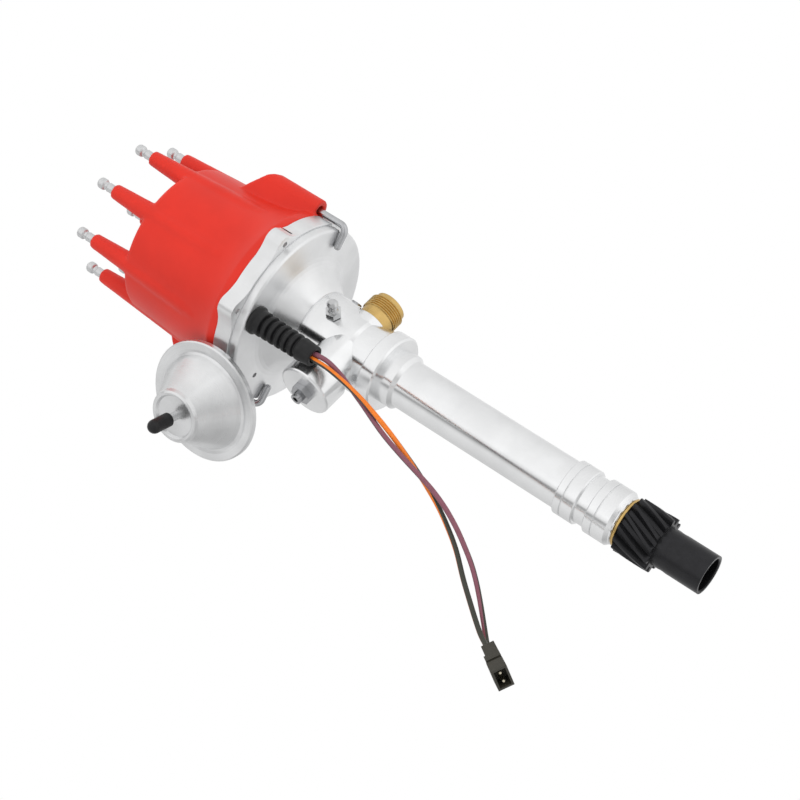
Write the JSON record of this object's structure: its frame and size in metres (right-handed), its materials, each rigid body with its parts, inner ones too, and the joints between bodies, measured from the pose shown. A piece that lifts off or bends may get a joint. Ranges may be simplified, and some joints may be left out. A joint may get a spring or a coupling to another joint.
{
  "type": "ignition distributor",
  "caption": "Ignition distributor with a towered red cap, vacuum advance can, tachometer drive, helical drive gear and a two-wire lead.",
  "frame": {"origin": "on the shaft axis, at the collar's seating face", "axes": "+Z along the shaft towards the cap, +X near the side of the brass cable fitting, -Y the side with the lead boot"},
  "size_m": [0.1667, 0.1246, 0.4099],
  "materials": {
    "cast_aluminium": "polished",
    "red_moulding": "satin",
    "terminal_metal": "satin",
    "carbon": "matt",
    "spring_steel": "bright",
    "bright_steel": "ground",
    "plated_steel": "satin plate",
    "latch_steel": "bright",
    "black_gear_steel": "black oxide",
    "brass": "turned",
    "bronze": "turned",
    "rubber": "matt",
    "black_moulding": "satin",
    "connector_plastic": "satin",
    "orange_lead": "gloss",
    "violet_lead": "gloss"
  },
  "bodies": {
    "body": {"housing": "cast_aluminium", "lower_bushing": "bronze", "bearing_outer_race": "bright_steel", "bearing_balls": "bright_steel", "bearing_retainer": "bright_steel", "plate_retainer": "bright_steel", "vacuum_can_front": "plated_steel", "vacuum_can_back": "plated_steel", "vacuum_diaphragm": "rubber", "vacuum_spring": "spring_steel", "vacuum_bracket": "plated_steel", "bracket_screws": "bright_steel", "tach_fitting": "brass", "tach_bushing": "bronze", "tach_end_cap": "cast_aluminium", "thrust_screw": "bright_steel", "jam_nut": "bright_steel", "grease_fitting": "plated_steel", "socket_plugs": "bright_steel", "strain_relief_boot": "rubber", "lead_orange": "orange_lead", "lead_violet": "violet_lead", "connector_body": "connector_plastic", "connector_pins": "brass"},
    "cap": {"distributor_cap": "red_moulding", "tower_terminals": "terminal_metal", "coil_terminal": "terminal_metal", "carbon_button": "carbon", "button_spring": "spring_steel", "latch_springs": "spring_steel"},
    "shaft": {"main_shaft": "bright_steel", "bearing_inner_race": "bright_steel", "drive_gear": "black_gear_steel", "gear_roll_pin": "bright_steel", "thrust_washer": "brass", "advance_cam": "bright_steel"},
    "advance_head": {"weight_carrier": "plated_steel", "weight_pins": "bright_steel", "advance_springs": "spring_steel", "reluctor": "bright_steel", "rotor": "black_moulding", "rotor_contact": "brass", "rotor_screws": "bright_steel"},
    "weight_a": {"advance_weight_a": "plated_steel"},
    "weight_b": {"advance_weight_b": "plated_steel"},
    "tach_shaft": {"tach_gear": "bright_steel"},
    "pickup": {"pickup_plate": "plated_steel", "pickup_coil": "black_moulding", "pickup_pole": "bright_steel"},
    "link": {"vacuum_link": "bright_steel"},
    "latch_a": {"latch_rod_a": "latch_steel", "latch_washer_a": "latch_steel"},
    "latch_b": {"latch_rod_b": "latch_steel", "latch_washer_b": "latch_steel"},
    "cap_on_nipple": {"nipple_cap": "rubber"}
  },
  "joints": [
    {"name": "cap_lift", "type": "slide", "parent": "body", "child": "cap", "axis": [0, 0, 1], "range_m": [0, 0.003], "stiffness_N_per_m": 2000, "deforming": ["latch_springs"]},
    {"name": "shaft_spin", "type": "hinge", "parent": "body", "child": "shaft", "pos_m": [0, 0, 0], "axis": [0, 0, 1], "continuous": true},
    {"name": "tach_spin", "type": "hinge", "parent": "body", "child": "tach_shaft", "pos_m": [0.00388, -0.007, 0.0278], "axis": [0.8746, 0.4848, 0], "continuous": true},
    {"name": "centrifugal_advance", "type": "hinge", "parent": "shaft", "child": "advance_head", "pos_m": [0, 0, 0.09], "axis": [0, 0, 1], "range_deg": [0, 12], "stiffness_Nm_per_rad": 0.3, "deforming": ["advance_springs"]},
    {"name": "weight_a_swing", "type": "hinge", "parent": "advance_head", "child": "weight_a", "pos_m": [0, 0.024, 0.0943], "axis": [0, 0, 1], "range_deg": [0, 15]},
    {"name": "weight_b_swing", "type": "hinge", "parent": "advance_head", "child": "weight_b", "pos_m": [0, -0.024, 0.0943], "axis": [0, 0, 1], "range_deg": [0, 15]},
    {"name": "vacuum_advance", "type": "hinge", "parent": "body", "child": "pickup", "pos_m": [0, 0, 0.0746], "axis": [0, 0, 1], "range_deg": [0, 8], "stiffness_Nm_per_rad": 0.6, "deforming": ["vacuum_spring", "vacuum_diaphragm"]},
    {"name": "link_slide", "type": "slide", "parent": "body", "child": "link", "axis": [-0.5878, -0.809, 0], "range_m": [0, 0.0056]},
    {"name": "latch_a_turn", "type": "hinge", "parent": "body", "child": "latch_a", "pos_m": [0.05583, -0.01289, 0.07], "axis": [0, 0, 1], "range_deg": [0, 90]},
    {"name": "latch_b_turn", "type": "hinge", "parent": "body", "child": "latch_b", "pos_m": [-0.05583, 0.01289, 0.07], "axis": [0, 0, 1], "range_deg": [0, 90]},
    {"name": "nipple_cap_pull", "type": "slide", "parent": "body", "child": "cap_on_nipple", "axis": [-0.5878, -0.809, 0], "range_m": [0, 0.02]}
  ],
  "couplings": [
    {"joint": "tach_spin", "follows": "shaft_spin", "ratio": -1},
    {"joint": "weight_a_swing", "follows": "centrifugal_advance", "ratio": 1.25},
    {"joint": "weight_b_swing", "follows": "centrifugal_advance", "ratio": 1.25},
    {"joint": "link_slide", "follows": "vacuum_advance", "m_per_rad": 0.0398}
  ]
}
